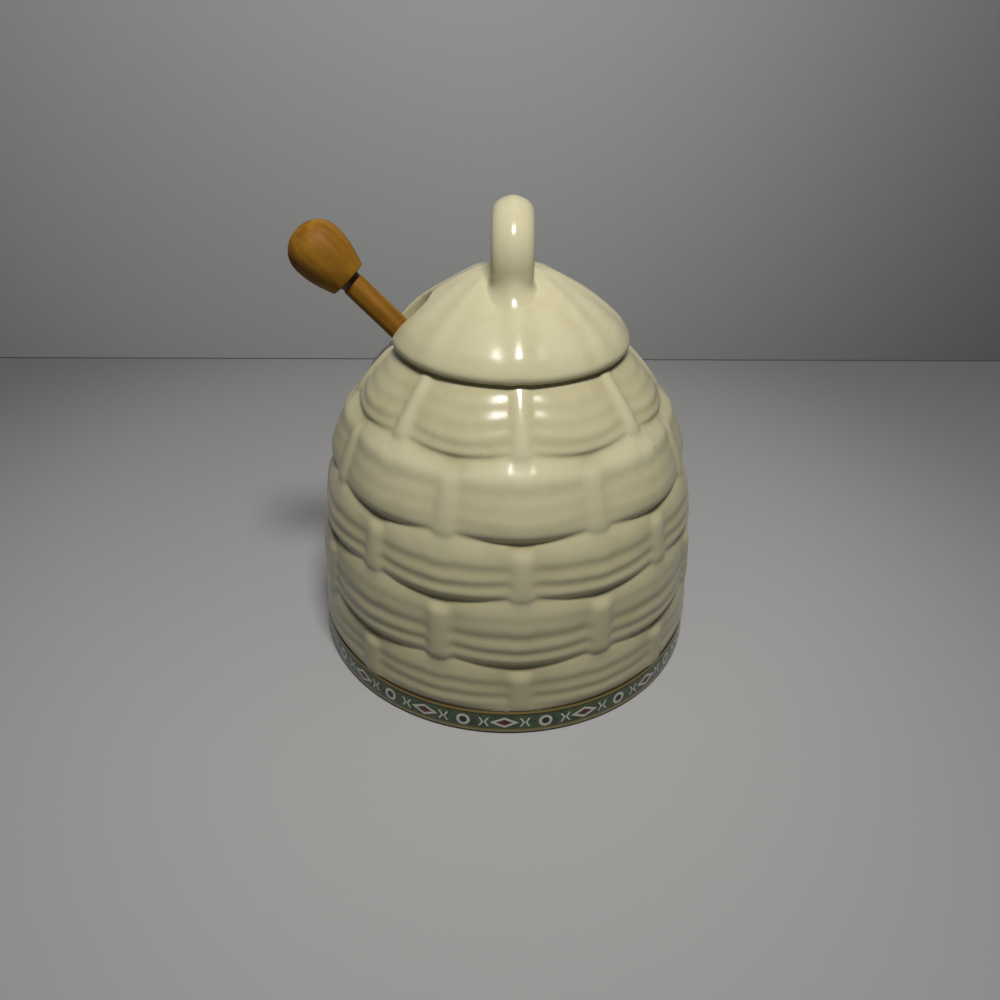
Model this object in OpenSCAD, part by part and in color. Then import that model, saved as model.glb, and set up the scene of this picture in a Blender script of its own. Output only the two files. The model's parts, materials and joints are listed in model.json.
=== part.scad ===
// Stoneware beehive honey pot with a basket weave, a lift-off lid and a wooden dipper.
// The origin is on the pot's axis at table level. +Z is up, the front is -Y and the dipper leans to -X.

/* [Pot] */
// Diameter of the foot
base_d = 114; // [104:1:124]
// Height of the pot's rim above the table
pot_h = 90.6; // [84:0.2:98]
// Inner diameter of the mouth
mouth_d = 53.2; // [50:0.2:58]
// Width of the flat rim that the lid rests on
rim_w = 2.6; // [2:0.1:4]
// Taper of the flank, as radius lost per mm of height and mm of radius
flank_taper = 0.0011; // [0.0006:0.0001:0.0016]
// Fullness of the shoulder: a higher power holds the flank straight for longer
shoulder_power = 4.5; // [3.6:0.1:5.4]
// Thickness of the wall
wall = 5; // [4:0.25:6.5]
// Thickness of the floor above the table
floor_t = 7; // [6:0.5:9]
// Radius between the floor and the wall inside
floor_fillet = 14; // [12:1:18]
// Width of the ring that the pot stands on
foot_ring_w = 5; // [3:0.5:8]
// Depth of the hollow under the floor
foot_recess = 1.5; // [1:0.25:2.5]

/* [Printed border] */
// Height of the border's lower edge
band_z = 0.8; // [0.5:0.1:1.5]
// Height of the border's upper edge, where the weave starts
band_top = 8.2; // [6.5:0.1:9]
// Thickness of the border
band_t = 0.35; // [0.3:0.05:0.6]

/* [Basket weave] */
// Upright stakes in one course
stakes = 8; // [6:1:10]
// Turn of the first course's stakes away from the front, in degrees
stake_turn = 4; // [0:1:20]
// Half the width of a stake, in degrees
stake_half = 2.2; // [1.8:0.1:2.6]
// Width of a stake's sloping side, in degrees
stake_side = 1.2; // [1:0.1:1.6]
// How far a stake stands out of the outline
stake_rise = 0.5; // [0.3:0.1:1.2]
// How far the strands bow out between two stakes
bow_rise = 1.2; // [0.4:0.1:1.4]
// How far a course's lower edge sags between two stakes
sag = 1.2; // [0.4:0.1:1.6]
// Depth of the crease between two courses
crease = 1.5; // [0.8:0.1:2]
// Depth of the groove between two strands
strand_groove = 0.55; // [0.3:0.05:0.8]

/* [Lid] */
// How far the lid's edge stands out past the rim
lid_overhang = 2.5; // [1.5:0.1:3.5]
// Height of the dome above the lid's edge
lid_rise = 19.6; // [16:0.2:24]
// Height of the rounded edge below the dome
lid_edge = 0.9; // [0.6:0.1:1.4]
// Thickness of the dome
lid_t = 3.6; // [3:0.1:4.5]
// Height of the soft ribs on the dome
rib_rise = 0.45; // [0.2:0.05:0.7]
// Depth of the ring under the lid that keeps it centred in the mouth
flange_h = 4.5; // [3:0.5:6]
// Thickness of that ring
flange_t = 3; // [2.5:0.25:4]
// Gap between that ring and the mouth
lid_gap = 0.4; // [0.3:0.1:0.8]
// Width of the notch for the dipper
notch_w = 12.4; // [11.6:0.2:14]
// Length of the notch, from the lid's edge inwards
notch_depth = 11.2; // [10:0.2:13]

/* [Loop handle] */
// Width of the strap, from side to side
loop_w = 10.6; // [9:0.2:12]
// Thickness of the strap
loop_t = 8; // [7:0.25:9]
// Outer span of the loop, front to back
loop_span = 29; // [26:0.5:32]
// Height of the loop's top above the dome
loop_rise = 15.0; // [12:0.2:17]
// Depth to which the loop's feet are set into the dome
loop_set = 1.5; // [1:0.1:2]

/* [Dipper] */
// Diameter of the stem
stem_d = 6.35; // [6:0.05:7]
// How far the stem's axis stands off the pot's middle plane, towards the front
stem_side = 1.8; // [1:0.1:2.2]
// How far outside the mouth's edge the stem's axis crosses the rim
stem_over = 0.8; // [0:0.1:1.2]
// Length of bare stem between the rim's level and the knob
stem_show = 20.7; // [18:0.5:30]
// Diameter of the knob
knob_d = 15; // [13:0.25:18]
// Diameter of the knob's flat end
knob_flat_d = 10.4; // [9:0.2:12]
// Length of the knob
knob_l = 17; // [15:0.1:20]
// Diameter of the grooved head
head_d = 19; // [16:0.5:20]
// Length of the grooved head
head_l = 27; // [23:1:32]
// Grooves in the head
head_grooves = 6; // [4:1:7]
// Width of one groove
groove_w = 1.9; // [1.5:0.1:2.1]
// Diameter of the core between the head's discs
core_d = 10.4; // [9.6:0.2:12]
// Depth of the holes that the stem is glued into
socket_depth = 8; // [6:0.5:10]

/* [Clearances] */
// Around the stem where it passes the rim
stem_gap = 0.3; // [0.25:0.05:0.5]
// Between the resting head and the pot
rest_gap = 0.3; // [0.2:0.05:0.5]
// Around the stem in its glued holes
glue_gap = 0.05; // [0.03:0.01:0.1]
// Behind the printed border
band_gap = 0.02; // [0.01:0.01:0.05]

/* [Hidden] */
$fn = 96;
// How far a cut runs past the face that it opens, and how far two joined shapes overlap
over = 1;

cream = [0.86, 0.83, 0.70];
green = [0.16, 0.36, 0.22];
wood = [0.62, 0.42, 0.16];

base_r = base_d / 2;
mouth_r = mouth_d / 2;
rim_r = mouth_r + rim_w;

// Outline of the pot: a tapering flank that closes like a dome and meets the rim
function taper(z) = base_r * (1 - flank_taper * z);
apex_h = pot_h / pow(1 - rim_r / taper(pot_h), 1 / shoulder_power);
function outline(z) = taper(z) * (1 - pow(z / apex_h, shoulder_power));

// Weave: levels of a course from its crease up, as shares of its height
level_at = [0, 0.07, 0.19, 0.31, 0.44, 0.57, 0.78, 0.94];
// Crowns of the strands, as shares of the bow, fuller low down in a course
level_out = [0, 0.75, 1, 0.85, 0.9, 0.7, 0.75, 0.35];
level_groove = [0, 0, 0, 1, 0, 1, 0, 0];
// Creases between the five courses, as shares of the height from border to rim
course_at = [0, 0.189, 0.421, 0.613, 0.828, 1];
courses = len(course_at) - 1;
// Plain edge of the rim above the weave, and how deep the weave starts inside the foot
rim_edge = 1.2;
weave_top = pot_h - rim_edge;
weave_lap = 0.4;
function course_z(i) = band_top + course_at[i] * (pot_h - band_top);
function level_z(i, j) = course_z(i) + level_at[j] * (course_z(i + 1) - course_z(i));
shown_levels = [
    for (i = [0:courses - 1], j = [0:len(level_at) - 1])
        if (level_z(i, j) > band_top + weave_lap / 2 && level_z(i, j) < weave_top) [i, j]];
pitch = 360 / stakes;
half_pitch = pitch / 2;
edge = stake_half + stake_side;
// Columns of the surface: four across each stake and two between stakes
column_off = [-edge, -stake_half, stake_half, edge,
              edge + 0.3 * (half_pitch - 2 * edge), edge + 0.7 * (half_pitch - 2 * edge)];
columns = [for (k = [0:2 * stakes - 1], d = column_off) stake_turn - 90 + k * half_pitch + d];

// Angle from the middle of the nearest stake of course i
function from_stake(i, a) =
    let (b = a + 90 - stake_turn - (i % 2) * half_pitch, c = b - pitch * floor(b / pitch))
    min(c, pitch - c);
function bow(d) = sin(90 * max(0, min(1, (d - edge) / (half_pitch - edge))));
function sag_at(i, a) = i > 0 && i < courses ? sag * bow(from_stake(i, a)) : 0;
// Depth at which strands pass behind a stake, as a share of the bow, and of a stake's foot
tuck = 0.6;
stake_foot = 0.4;
function relief(i, j, a) =
    let (d = from_stake(i, a))
    d < stake_half + stake_side / 2
        ? stake_rise * (j == 0 ? -stake_foot : 1)
        : bow_rise * (bow(d) * level_out[j] - tuck)
            - (j == 0 ? crease * (1 + bow(d)) / 2 : 0)
            - strand_groove * level_groove[j];

// A closed surface from rings of points, counted from the bottom up
module rings_solid(rings) {
    n = len(rings[0]);
    m = len(rings);
    polyhedron(
        points = [for (ring = rings, point = ring) point],
        faces = concat(
            [[for (k = [0:n - 1]) k]],
            [for (i = [0:m - 2], k = [0:n - 1], half = [0, 1])
                let (p = i * n + k, q = i * n + (k + 1) % n)
                half == 0 ? [p, p + n, q + n] : [p, q + n, q]],
            [[for (k = [n - 1:-1:0]) (m - 1) * n + k]]),
        convexity = 6);
}

function ring_at(r, z) = [for (a = columns) [r * cos(a), r * sin(a), z]];

module woven_wall() {
    lap_r = outline(band_top) - bow_rise - crease;
    rings_solid(concat(
        [ring_at(lap_r, band_top - weave_lap)],
        [for (v = shown_levels)
            [for (a = columns)
                let (
                    i = v[0], j = v[1], share = level_at[j],
                    z = level_z(i, j) - (1 - share) * sag_at(i, a) - share * sag_at(i + 1, a),
                    r = outline(z) + relief(i, j, a))
                [r * cos(a), r * sin(a), z]]],
        [ring_at(outline(weave_top), weave_top)]));
}

// Foot: a plain turned base with a seat for the border and a ring to stand on
band_seat = outline(0) - band_t;
foot_bevel = 0.8;
ring_r = base_r - foot_bevel - foot_ring_w;
module foot() {
    rotate_extrude()
        polygon([
            [0, foot_recess], [ring_r - foot_recess, foot_recess], [ring_r, 0],
            [base_r - foot_bevel, 0], [base_r, band_z], [band_seat, band_z],
            [outline(band_top) - band_t - band_gap, band_top], [0, band_top]]);
}

// Inside of the pot: the outline less the wall, with a round floor corner and a straight mouth
function inner_r(z) = outline(z) - wall;
fillet_z = floor_t + floor_fillet;
fillet_r = inner_r(fillet_z) - floor_fillet;
// The mouth is straight for this far down
neck_h = 7;
neck_z = pot_h - neck_h;
cavity_steps = 12;
module cavity() {
    rotate_extrude()
        polygon(concat(
            [[0, floor_t]],
            [for (a = [0:10:80]) [fillet_r + floor_fillet * sin(a), fillet_z - floor_fillet * cos(a)]],
            [for (k = [0:cavity_steps])
                let (z = fillet_z + (neck_z - fillet_z) * k / cavity_steps)
                [max(mouth_r, inner_r(z)), z]],
            [[mouth_r, neck_z + over], [mouth_r, pot_h + over], [0, pot_h + over]]));
}

rim_round = 0.8;
module rim() {
    rotate_extrude()
        polygon(concat(
            [[mouth_r - over, neck_z], [rim_r, neck_z]],
            [for (a = [0:30:90]) [rim_r - rim_round * (1 - cos(a)), pot_h - rim_round * (1 - sin(a))]],
            [[mouth_r - over, pot_h]]));
}

// Dipper: its axis runs from the floor's far corner up over the rim at the left
head_r = head_d / 2;
stem_r = stem_d / 2;
rest_angle = 20;
rest_reach = floor_fillet - head_r - rest_gap;
tip_x = fillet_r + rest_reach * cos(rest_angle);
tip_z = fillet_z - rest_reach * sin(rest_angle);
cross_x = -(mouth_r + stem_over);
stem_angle = atan2(pot_h - tip_z, tip_x - cross_x);
stem_reach = norm([tip_x - cross_x, pot_h - tip_z]);

// Puts a shape drawn upwards from the middle of the head's round end onto the dipper's axis
module on_dipper() {
    translate([tip_x, -stem_side, tip_z]) rotate([0, stem_angle - 90, 0]) children();
}

// Sloping groove in the rim that the stem lies in
rest_l = 24;
module dipper_groove() {
    on_dipper()
        translate([0, 0, stem_reach - rest_l / 2]) cylinder(r = stem_r + stem_gap, h = rest_l);
}

module pot_body() {
    color(cream)
        difference() {
            union() {
                woven_wall();
                foot();
                rim();
            }
            cavity();
            dipper_groove();
        }
}

module border_band() {
    color(green)
        rotate_extrude()
            polygon([
                [band_seat + band_gap, band_z + band_gap], [base_r, band_z + band_gap],
                [outline(band_top), band_top], [outline(band_top) - band_t, band_top]]);
}

// Lid: the dome's height at a radius, measured at its outer face
lid_r = rim_r + lid_overhang;
lid_edge_z = pot_h + lid_edge;
dome_tip = 1.3;
dome_side = 0.75;
function dome(r) = lid_edge_z + lid_rise * pow(1 - pow(min(r / lid_r, 1), dome_tip), dome_side);
// Rings of the dome's surface from its edge to its middle, as shares of its radius
dome_share = [1, 0.985, 0.95, 0.89, 0.81, 0.71, 0.6, 0.48, 0.36, 0.24, 0.12, 0.03];
// Rounded lower corner of the edge, as steps inwards and upwards
edge_steps = [[1.4, 0], [0.4, 0.3]];
lid_columns = [for (k = [0:8 * stakes - 1]) stake_turn - 90 + k * 360 / (8 * stakes)];
rib_skew = 1.5;
function rib(s, a) = rib_rise * cos(stakes * (a + 90 - stake_turn)) * sin(180 * pow(s, rib_skew));

module dome_shape() {
    rings_solid(concat(
        [for (e = edge_steps)
            [for (a = lid_columns) [(lid_r - e[0]) * cos(a), (lid_r - e[0]) * sin(a), pot_h + e[1]]]],
        [for (s = dome_share)
            [for (a = lid_columns)
                [s * lid_r * cos(a), s * lid_r * sin(a), dome(s * lid_r) + rib(s, a)]]]));
}

flange_r = mouth_r - lid_gap;
flange_z = pot_h - flange_h;
// Space inside the dome, down through the ring
hollow_r = flange_r - flange_t;
hollow_steps = 10;
module lid_hollow() {
    rotate_extrude()
        polygon(concat(
            [[0, flange_z - over], [hollow_r, flange_z - over]],
            [for (k = [hollow_steps:-1:0])
                let (r = hollow_r * k / hollow_steps) [r, dome(r) - lid_t]]));
}

notch_r = notch_w / 2;
notch_x = -(lid_r - notch_depth + notch_r);
notch_h = flange_h + lid_edge + lid_rise + 2 * over;
// The ring is open a little further in, so that the stem passes as it slants inwards
slot_side = 1.5;
slot_w = stem_d + 2 * slot_side;
slot_l = mouth_r / 2;
slot_skin = 0.2;
module notch() {
    translate([0, 0, flange_z - over]) {
        translate([notch_x, 0, 0]) cylinder(r = notch_r, h = notch_h);
        translate([notch_x - notch_w, -notch_r, 0]) cube([notch_w, notch_w, notch_h]);
        translate([-mouth_r - over, -stem_side - slot_w / 2, 0])
            cube([slot_l, slot_w, flange_h + over - slot_skin]);
    }
}

module lid() {
    color(cream)
        difference() {
            union() {
                dome_shape();
                translate([0, 0, flange_z]) cylinder(r = flange_r, h = flange_h + over);
            }
            lid_hollow();
            notch();
        }
}

// Loop handle: a half ring on two legs, with a strap that has round edges
loop_mid = (loop_span - loop_t) / 2;
loop_top = dome(0) + loop_rise;
loop_z = loop_top - loop_span / 2;
module strap() {
    square([loop_w - loop_t, loop_t], center = true);
    for (s = [-1, 1]) translate([s * (loop_w - loop_t) / 2, 0]) circle(d = loop_t);
}

seat_steps = 20;
module lid_handle() {
    leg_l = loop_z - dome(loop_span / 2) + loop_set + over;
    color(cream)
        difference() {
            union() {
                translate([0, 0, loop_z]) rotate([0, -90, 0]) rotate([0, 0, -90])
                    rotate_extrude(angle = 180) translate([loop_mid, 0]) rotate(90) strap();
                for (s = [-1, 1])
                    translate([0, s * loop_mid, loop_z - leg_l]) linear_extrude(leg_l) strap();
            }
            rotate_extrude()
                polygon(concat(
                    [[0, pot_h], [lid_r, pot_h]],
                    [for (k = [seat_steps:-1:0])
                        let (r = lid_r * k / seat_steps) [r, dome(r) - loop_set]]));
        }
}

// Wooden pieces, drawn upwards along the dipper's axis from the middle of its round end
head_top = head_l - head_r;
knob_z = stem_reach + stem_show;
module dipper_stem() {
    z = head_top - socket_depth + glue_gap;
    color(wood)
        on_dipper() translate([0, 0, z]) cylinder(r = stem_r, h = knob_z + socket_depth - glue_gap - z);
}

// Place of the knob's widest ring, as a share of its length, and how blunt its end is
knob_wide = 0.58;
knob_power = 2.3;
knob_steps = [8, 11];
module dipper_knob() {
    knob_r = knob_d / 2;
    flat_r = knob_flat_d / 2;
    color(wood)
        on_dipper()
            translate([0, 0, knob_z])
                difference() {
                    rotate_extrude()
                        polygon(concat(
                            [[0, 0]],
                            [for (k = [0:knob_steps[0]])
                                let (s = k / knob_steps[0])
                                [flat_r + (knob_r - flat_r) * sin(90 * s), knob_l * knob_wide * s]],
                            [for (k = [1:knob_steps[1]])
                                let (s = sin(90 * k / knob_steps[1]))
                                [knob_r * sqrt(1 - pow(s, knob_power)),
                                 knob_l * (knob_wide + (1 - knob_wide) * s)]]));
                    translate([0, 0, -over]) cylinder(r = stem_r + glue_gap, h = socket_depth + over);
                }
}

// Length of the head's solid ends: the shoulder above the first groove, and both ends together
head_shoulder = 2.5;
head_ends = 6;
module dipper_head() {
    groove_pitch = (head_l - head_ends) / head_grooves;
    end_r = core_d / 2;
    color(wood)
        on_dipper()
            difference() {
                rotate_extrude()
                    polygon(concat(
                        [[0, -head_r]],
                        [for (a = [10:10:90]) [head_r * sin(a), -head_r * cos(a)]],
                        [for (a = [0:15:90])
                            [end_r + (head_r - end_r) * cos(a), head_top - (head_r - end_r) * (1 - sin(a))]],
                        [[0, head_top]]));
                for (k = [0:head_grooves - 1])
                    translate([0, 0, head_top - head_shoulder - groove_w - k * groove_pitch])
                        difference() {
                            cylinder(r = head_r + over, h = groove_w);
                            translate([0, 0, -over]) cylinder(r = end_r, h = groove_w + 2 * over);
                        }
                translate([0, 0, head_top - socket_depth])
                    cylinder(r = stem_r + glue_gap, h = socket_depth + over);
            }
}

pot_body();
border_band();
lid();
lid_handle();
dipper_stem();
dipper_knob();
dipper_head();
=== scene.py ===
"""Beehive honey pot with a basket weave, a lift-off lid and a wooden dipper, dressed around its solids."""
import json
from math import atan2, cos, pi, radians, sin, sqrt

import bpy
import numpy as np
from bpy.props import FloatProperty, FloatVectorProperty, IntProperty, PointerProperty
from mathutils import Euler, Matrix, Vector


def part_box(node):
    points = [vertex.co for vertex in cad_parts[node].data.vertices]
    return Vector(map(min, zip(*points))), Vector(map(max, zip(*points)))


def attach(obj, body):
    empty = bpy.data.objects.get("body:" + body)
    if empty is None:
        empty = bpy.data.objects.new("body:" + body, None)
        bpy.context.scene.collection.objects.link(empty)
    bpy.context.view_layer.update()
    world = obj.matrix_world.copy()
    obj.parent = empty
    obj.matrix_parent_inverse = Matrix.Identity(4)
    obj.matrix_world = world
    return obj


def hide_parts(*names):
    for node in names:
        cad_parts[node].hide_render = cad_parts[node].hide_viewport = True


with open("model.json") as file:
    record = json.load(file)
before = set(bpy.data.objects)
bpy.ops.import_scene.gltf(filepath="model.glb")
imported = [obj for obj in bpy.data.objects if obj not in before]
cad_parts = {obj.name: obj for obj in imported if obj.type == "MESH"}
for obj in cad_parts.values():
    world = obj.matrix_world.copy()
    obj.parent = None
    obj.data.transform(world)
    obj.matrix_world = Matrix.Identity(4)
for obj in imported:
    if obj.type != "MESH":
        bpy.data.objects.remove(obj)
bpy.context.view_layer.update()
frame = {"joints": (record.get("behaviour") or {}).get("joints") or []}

bl_info = {
    "name": "Beehive Honey Pot",
    "version": (1, 0, 0),
    "blender": (4, 5, 0),
    "location": "3D View > Sidebar > Honey Pot",
    "description": "Models and glazes a woven honey pot with its lid, handle and wooden dipper",
    "category": "Add Mesh",
}

MM = 0.001
BORDER_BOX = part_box("border_band")
POT_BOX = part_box("pot_body")
HANDLE_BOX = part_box("lid_handle")
STEM_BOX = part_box("dipper_stem")


# Sizes and colours


def length(name, text, default):
    return FloatProperty(name=name, description=text, default=default, unit="LENGTH", min=0)


def colour(name, text, red, green, blue):
    """A colour property, given as it is picked on screen."""
    linear = [(v / 255 / 12.92 if v <= 10 else ((v / 255 + 0.055) / 1.055) ** 2.4) for v in (red, green, blue)]
    return FloatVectorProperty(
        name=name, description=text, default=linear, subtype="COLOR", size=3, min=0, max=1
    )


class HoneyPotSizes(bpy.types.PropertyGroup):
    foot_width: length("Foot width", "Diameter of the pot at its foot", BORDER_BOX[1].x - BORDER_BOX[0].x)
    pot_height: length("Pot height", "From the table to the rim", POT_BOX[1].z)
    mouth_width: length("Mouth width", "Inner diameter of the mouth", 53.2 * MM)
    rim_width: length("Rim width", "Width of the flat rim under the lid", 2.6 * MM)
    wall: length("Wall", "Thickness of the pot's wall", 5 * MM)
    floor: length("Floor", "Thickness of the pot's floor above the table", 7 * MM)
    band_low: length("Border's lower edge", "Height of the printed border's lower edge", 0.82 * MM)
    band_high: length("Border's upper edge", "Height at which the weave starts", BORDER_BOX[1].z)
    band_thickness: length("Border thickness", "Thickness of the printed border", 0.35 * MM)
    stakes: IntProperty(name="Stakes", description="Upright stakes in one course", default=8, min=6, max=10)
    stake_turn: FloatProperty(
        name="Stake turn", description="Turn of the stakes from the front, in degrees", default=4)
    stake_half: FloatProperty(name="Half a stake", description="Half a stake's width, in degrees", default=3.1)
    stake_rise: length("Stake rise", "How far a stake stands out of the outline", 0.45 * MM)
    bow: length("Bow", "How far the strands bow out between two stakes", 1.15 * MM)
    sag: length("Sag", "How far a course sags between two stakes", 1.3 * MM)
    crease: length("Crease", "Depth of the crease between two courses", 1.05 * MM)
    groove: length("Groove", "Depth of the groove between two strands", 0.85 * MM)
    glaze_reach: length("Glaze reach", "How far the glaze softens a corner of the weave", 0.64 * MM)
    lid_width: length("Lid width", "Diameter of the lid", 63.4 * MM)
    lid_rise: length("Lid rise", "Height of the dome above the lid's edge", 19.6 * MM)
    lid_edge: length("Lid edge", "Height of the rounded edge below the dome", 0.9 * MM)
    lid_wall: length("Lid wall", "Thickness of the dome", 3.6 * MM)
    rib: length("Rib", "Height of the ribs and lobes on the dome", 0.45 * MM)
    notch_width: length("Notch width", "Width of the notch for the dipper", 12.4 * MM)
    notch_length: length("Notch length", "From the lid's edge inwards", 11.2 * MM)
    handle_width: length("Handle width", "Width of the loop from side to side", HANDLE_BOX[1].x - HANDLE_BOX[0].x)
    handle_thickness: length("Handle thickness", "Thickness of the loop", 8 * MM)
    handle_span: length("Handle span", "Outer span of the loop, front to back", 29 * MM)
    stem_width: length("Stem width", "Diameter of the dipper's stem", STEM_BOX[1].y - STEM_BOX[0].y)
    knob_width: length("Knob width", "Diameter of the knob", 15 * MM)
    knob_flat: length("Knob's flat end", "Diameter of the knob's flat end", 10.4 * MM)
    knob_length: length("Knob length", "Length of the knob", 17 * MM)
    head_width: length("Head width", "Diameter of the grooved head", 19 * MM)
    head_length: length("Head length", "Length of the grooved head", 27 * MM)
    head_grooves: IntProperty(name="Head grooves", description="Grooves in the head", default=6, min=4, max=7)


class HoneyPotColours(bpy.types.PropertyGroup):
    glaze: colour("Glaze", "Cream glaze on open surfaces", 212, 206, 170)
    # Thick glaze: the colour of pooled glaze, of the painted shade in the creases, valleys, under the lid, at the
    # handle's feet and low on the pot, and of the cream strip under the border
    thick_glaze_and_shade: colour("Pooled glaze", "Glaze where it pools in the creases", 176, 167, 124)
    glaze_thin: colour("Thin glaze", "Glaze where it runs thin on edges", 220, 212, 180)
    speck: colour("Specks", "Iron specks in the glaze", 96, 78, 50)
    green: colour("Border ground", "Ground of the printed border", 74, 96, 60)
    green_dark: colour("Border shading", "Darker patches in the border's ground", 50, 66, 42)
    gold: colour("Gold line", "Lines along the border", 150, 132, 58)
    brown: colour("Brown line", "Thin dark lines of the border", 62, 44, 22)
    white: colour("Border white", "Outlines of the border's motifs", 222, 224, 212)
    red: colour("Border red", "Centres of the lozenges", 88, 18, 20)
    black: colour("Border black", "Centres of the rings", 20, 18, 18)
    wood: colour("Wood", "Light grain of the dipper", 166, 120, 34)
    wood_dark: colour("Dark grain", "Dark grain of the dipper", 122, 78, 14)
    glue: colour("Glue", "Old glue between the stem and the knob", 58, 26, 8)
    floor: colour("Floor", "Table", 180, 181, 183)
    backdrop: colour("Backdrop", "Board behind the pot", 190, 192, 194)


def sizes():
    return bpy.context.scene.honey_pot_sizes


def colours():
    return bpy.context.scene.honey_pot_colours


# Modelling


def named(name):
    """Names the object that an operator has just added."""
    made = bpy.context.object
    made.name = made.data.name = name
    return made


def only(made):
    bpy.ops.object.select_all(action="DESELECT")
    made.select_set(True)
    bpy.context.view_layer.objects.active = made


def points_of(made):
    places = np.empty(len(made.data.vertices) * 3, np.float32)
    made.data.vertices.foreach_get("co", places)
    return places.reshape(-1, 3).astype(float)


def set_points(made, places):
    made.data.vertices.foreach_set("co", places.astype(np.float32).ravel())
    made.data.update()


def rounded(corners, steps=5):
    """An outline with its corners rounded. Each corner is (radius, height, rounding)."""
    points = []
    for k, (radius, height, rounding) in enumerate(corners):
        here = Vector((radius, height))
        if rounding == 0 or k in (0, len(corners) - 1):
            points.append(here)
            continue
        back = Vector(corners[k - 1][:2]) - here
        on = Vector(corners[k + 1][:2]) - here
        start = here + back.normalized() * min(rounding, back.length * 0.49)
        end = here + on.normalized() * min(rounding, on.length * 0.49)
        for s in range(steps + 1):
            t = s / steps
            points.append(start.lerp(here, t).lerp(here.lerp(end, t), t))
    return [(p.x, p.y) for p in points]


POLE = 0.004 * MM


def turned(name, outline, around):
    """A turned piece: a ring is drawn at the outline's first point and pulled from point to point."""
    outline = [(max(radius, POLE), height) for radius, height in outline]
    bpy.ops.object.select_all(action="DESELECT")
    radius, height = outline[0]
    bpy.ops.mesh.primitive_circle_add(vertices=around, radius=radius, location=(0, 0, height))
    made = named(name)
    bpy.ops.object.transform_apply()
    bpy.ops.object.mode_set(mode="EDIT")
    bpy.ops.mesh.select_all(action="SELECT")
    for next_radius, next_height in outline[1:]:
        bpy.ops.mesh.extrude_region_move(TRANSFORM_OT_translate={"value": (0, 0, next_height - height)})
        scale = next_radius / radius
        if scale != 1:
            bpy.ops.transform.resize(value=(scale, scale, 1), center_override=(0, 0, next_height))
        radius, height = next_radius, next_height
    bpy.ops.mesh.select_all(action="SELECT")
    bpy.ops.mesh.remove_doubles(threshold=POLE * 2.5)
    bpy.ops.mesh.normals_make_consistent(inside=False)
    bpy.ops.object.mode_set(mode="OBJECT")
    bpy.ops.object.shade_smooth()
    return made


def apply_modifiers(made):
    only(made)
    for modifier in list(made.modifiers):
        bpy.ops.object.modifier_apply(modifier=modifier.name)


def keep_value(made, name, values):
    """Stores one number per point, for the material."""
    layer = made.data.attributes.new(name, "FLOAT", "POINT")
    layer.data.foreach_set("value", values.astype(np.float32))


def finish_piece(made, body, slot, finish, *nodes):
    made.data.materials.clear()
    made.data.materials.append(finish)
    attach(made, body)
    if nodes:
        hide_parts(*nodes)
    return made


def ease(share):
    share = np.clip(share, 0, 1)
    return share * share * (3 - 2 * share)


def swell(share):
    """Rises as a quarter of a circle: steep at 0 and level at 1."""
    return np.sqrt(np.clip(1 - (1 - np.clip(share, 0, 1)) ** 2, 0, 1))


def roll(share):
    """Like swell, but with a soft start, as glaze fills a crease."""
    share = np.clip(share, 0, 1)
    return swell(share) * ease(share / 0.16) * 0.75 + ease(share) * 0.25


# The pot

FLANK_TAPER = 0.0011 / MM
SHOULDER_POWER = 4.5
COURSE_AT = (0, 0.189, 0.421, 0.613, 0.828, 1)
# Grooves of each course from the lowest up: share of the height, depth (a strand where less than 0) and width
STRAND_GROOVES = (
    ((0.30, 0.7, 1.1), (0.555, 0.65, 1.1), (0.80, 0.15, 1.4)),
    ((0.23, 0.9, 1.1), (0.46, 0.9, 1.2), (0.70, 0.2, 1.6)),
    ((0.27, 1.1, 1.1), (0.52, 0.95, 1.2), (0.76, 0.15, 1.6)),
    ((0.20, 0.3, 1.2), (0.40, 0.35, 1.3), (0.61, 0.4, 1.3), (0.80, -0.6, 2.3)),
    ((0.19, 1.2, 1.0), (0.40, 1.3, 1.0), (0.61, 1.3, 1.0), (0.80, 1.0, 1.0)),
)
FULLNESS_AT = (0, 0.08, 0.2, 0.35, 0.5, 0.65, 0.8, 0.92, 1)
FULLNESS = (0.66, 0.88, 1.04, 1.06, 0.99, 0.86, 0.64, 0.38, 0.22)
TUCK = 0.42
STAKE_SIDE = 2.9
# How far the stakes of each course stand out, from the lowest up, as shares of the stake rise
STAKE_RISES = (0.9, 1.2, 0.4, 0.4, 0.5)
# How far a course's strands bow out, from the lowest up, as shares of the bow
COURSE_BOWS = (0.9, 1.0, 1.1, 1.35, 1.15)
COLUMNS_PER_STAKE = 22
# Short lengths into which the upright edges of one course are cut
ROWS_PER_COURSE = 36
# Height of the straight mouth, and radius between the floor and the wall inside
NECK = 7 * MM
FLOOR_FILLET = 14 * MM
# Play of the stem in its groove, and length of the tool that cuts the groove
GROOVE_PLAY = 0.3 * MM
GROOVE_CUT = 24 * MM


def pot_outline(height):
    s = sizes()
    rim = s.mouth_width / 2 + s.rim_width
    base = s.foot_width / 2
    apex = s.pot_height / (1 - rim / (base * (1 - FLANK_TAPER * s.pot_height))) ** (1 / SHOULDER_POWER)
    return base * (1 - FLANK_TAPER * height) * (1 - (height / apex) ** SHOULDER_POWER)


def course_heights():
    s = sizes()
    return np.array([s.band_high + share * (s.pot_height - s.band_high) for share in COURSE_AT])


def from_stake(angle, turn, pitch):
    """Degrees from a place to the nearest of the stakes, or of the lid's ribs, at a turn and a pitch."""
    past = np.mod(angle + 90 - turn, pitch)
    return np.minimum(past, pitch - past)


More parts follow.
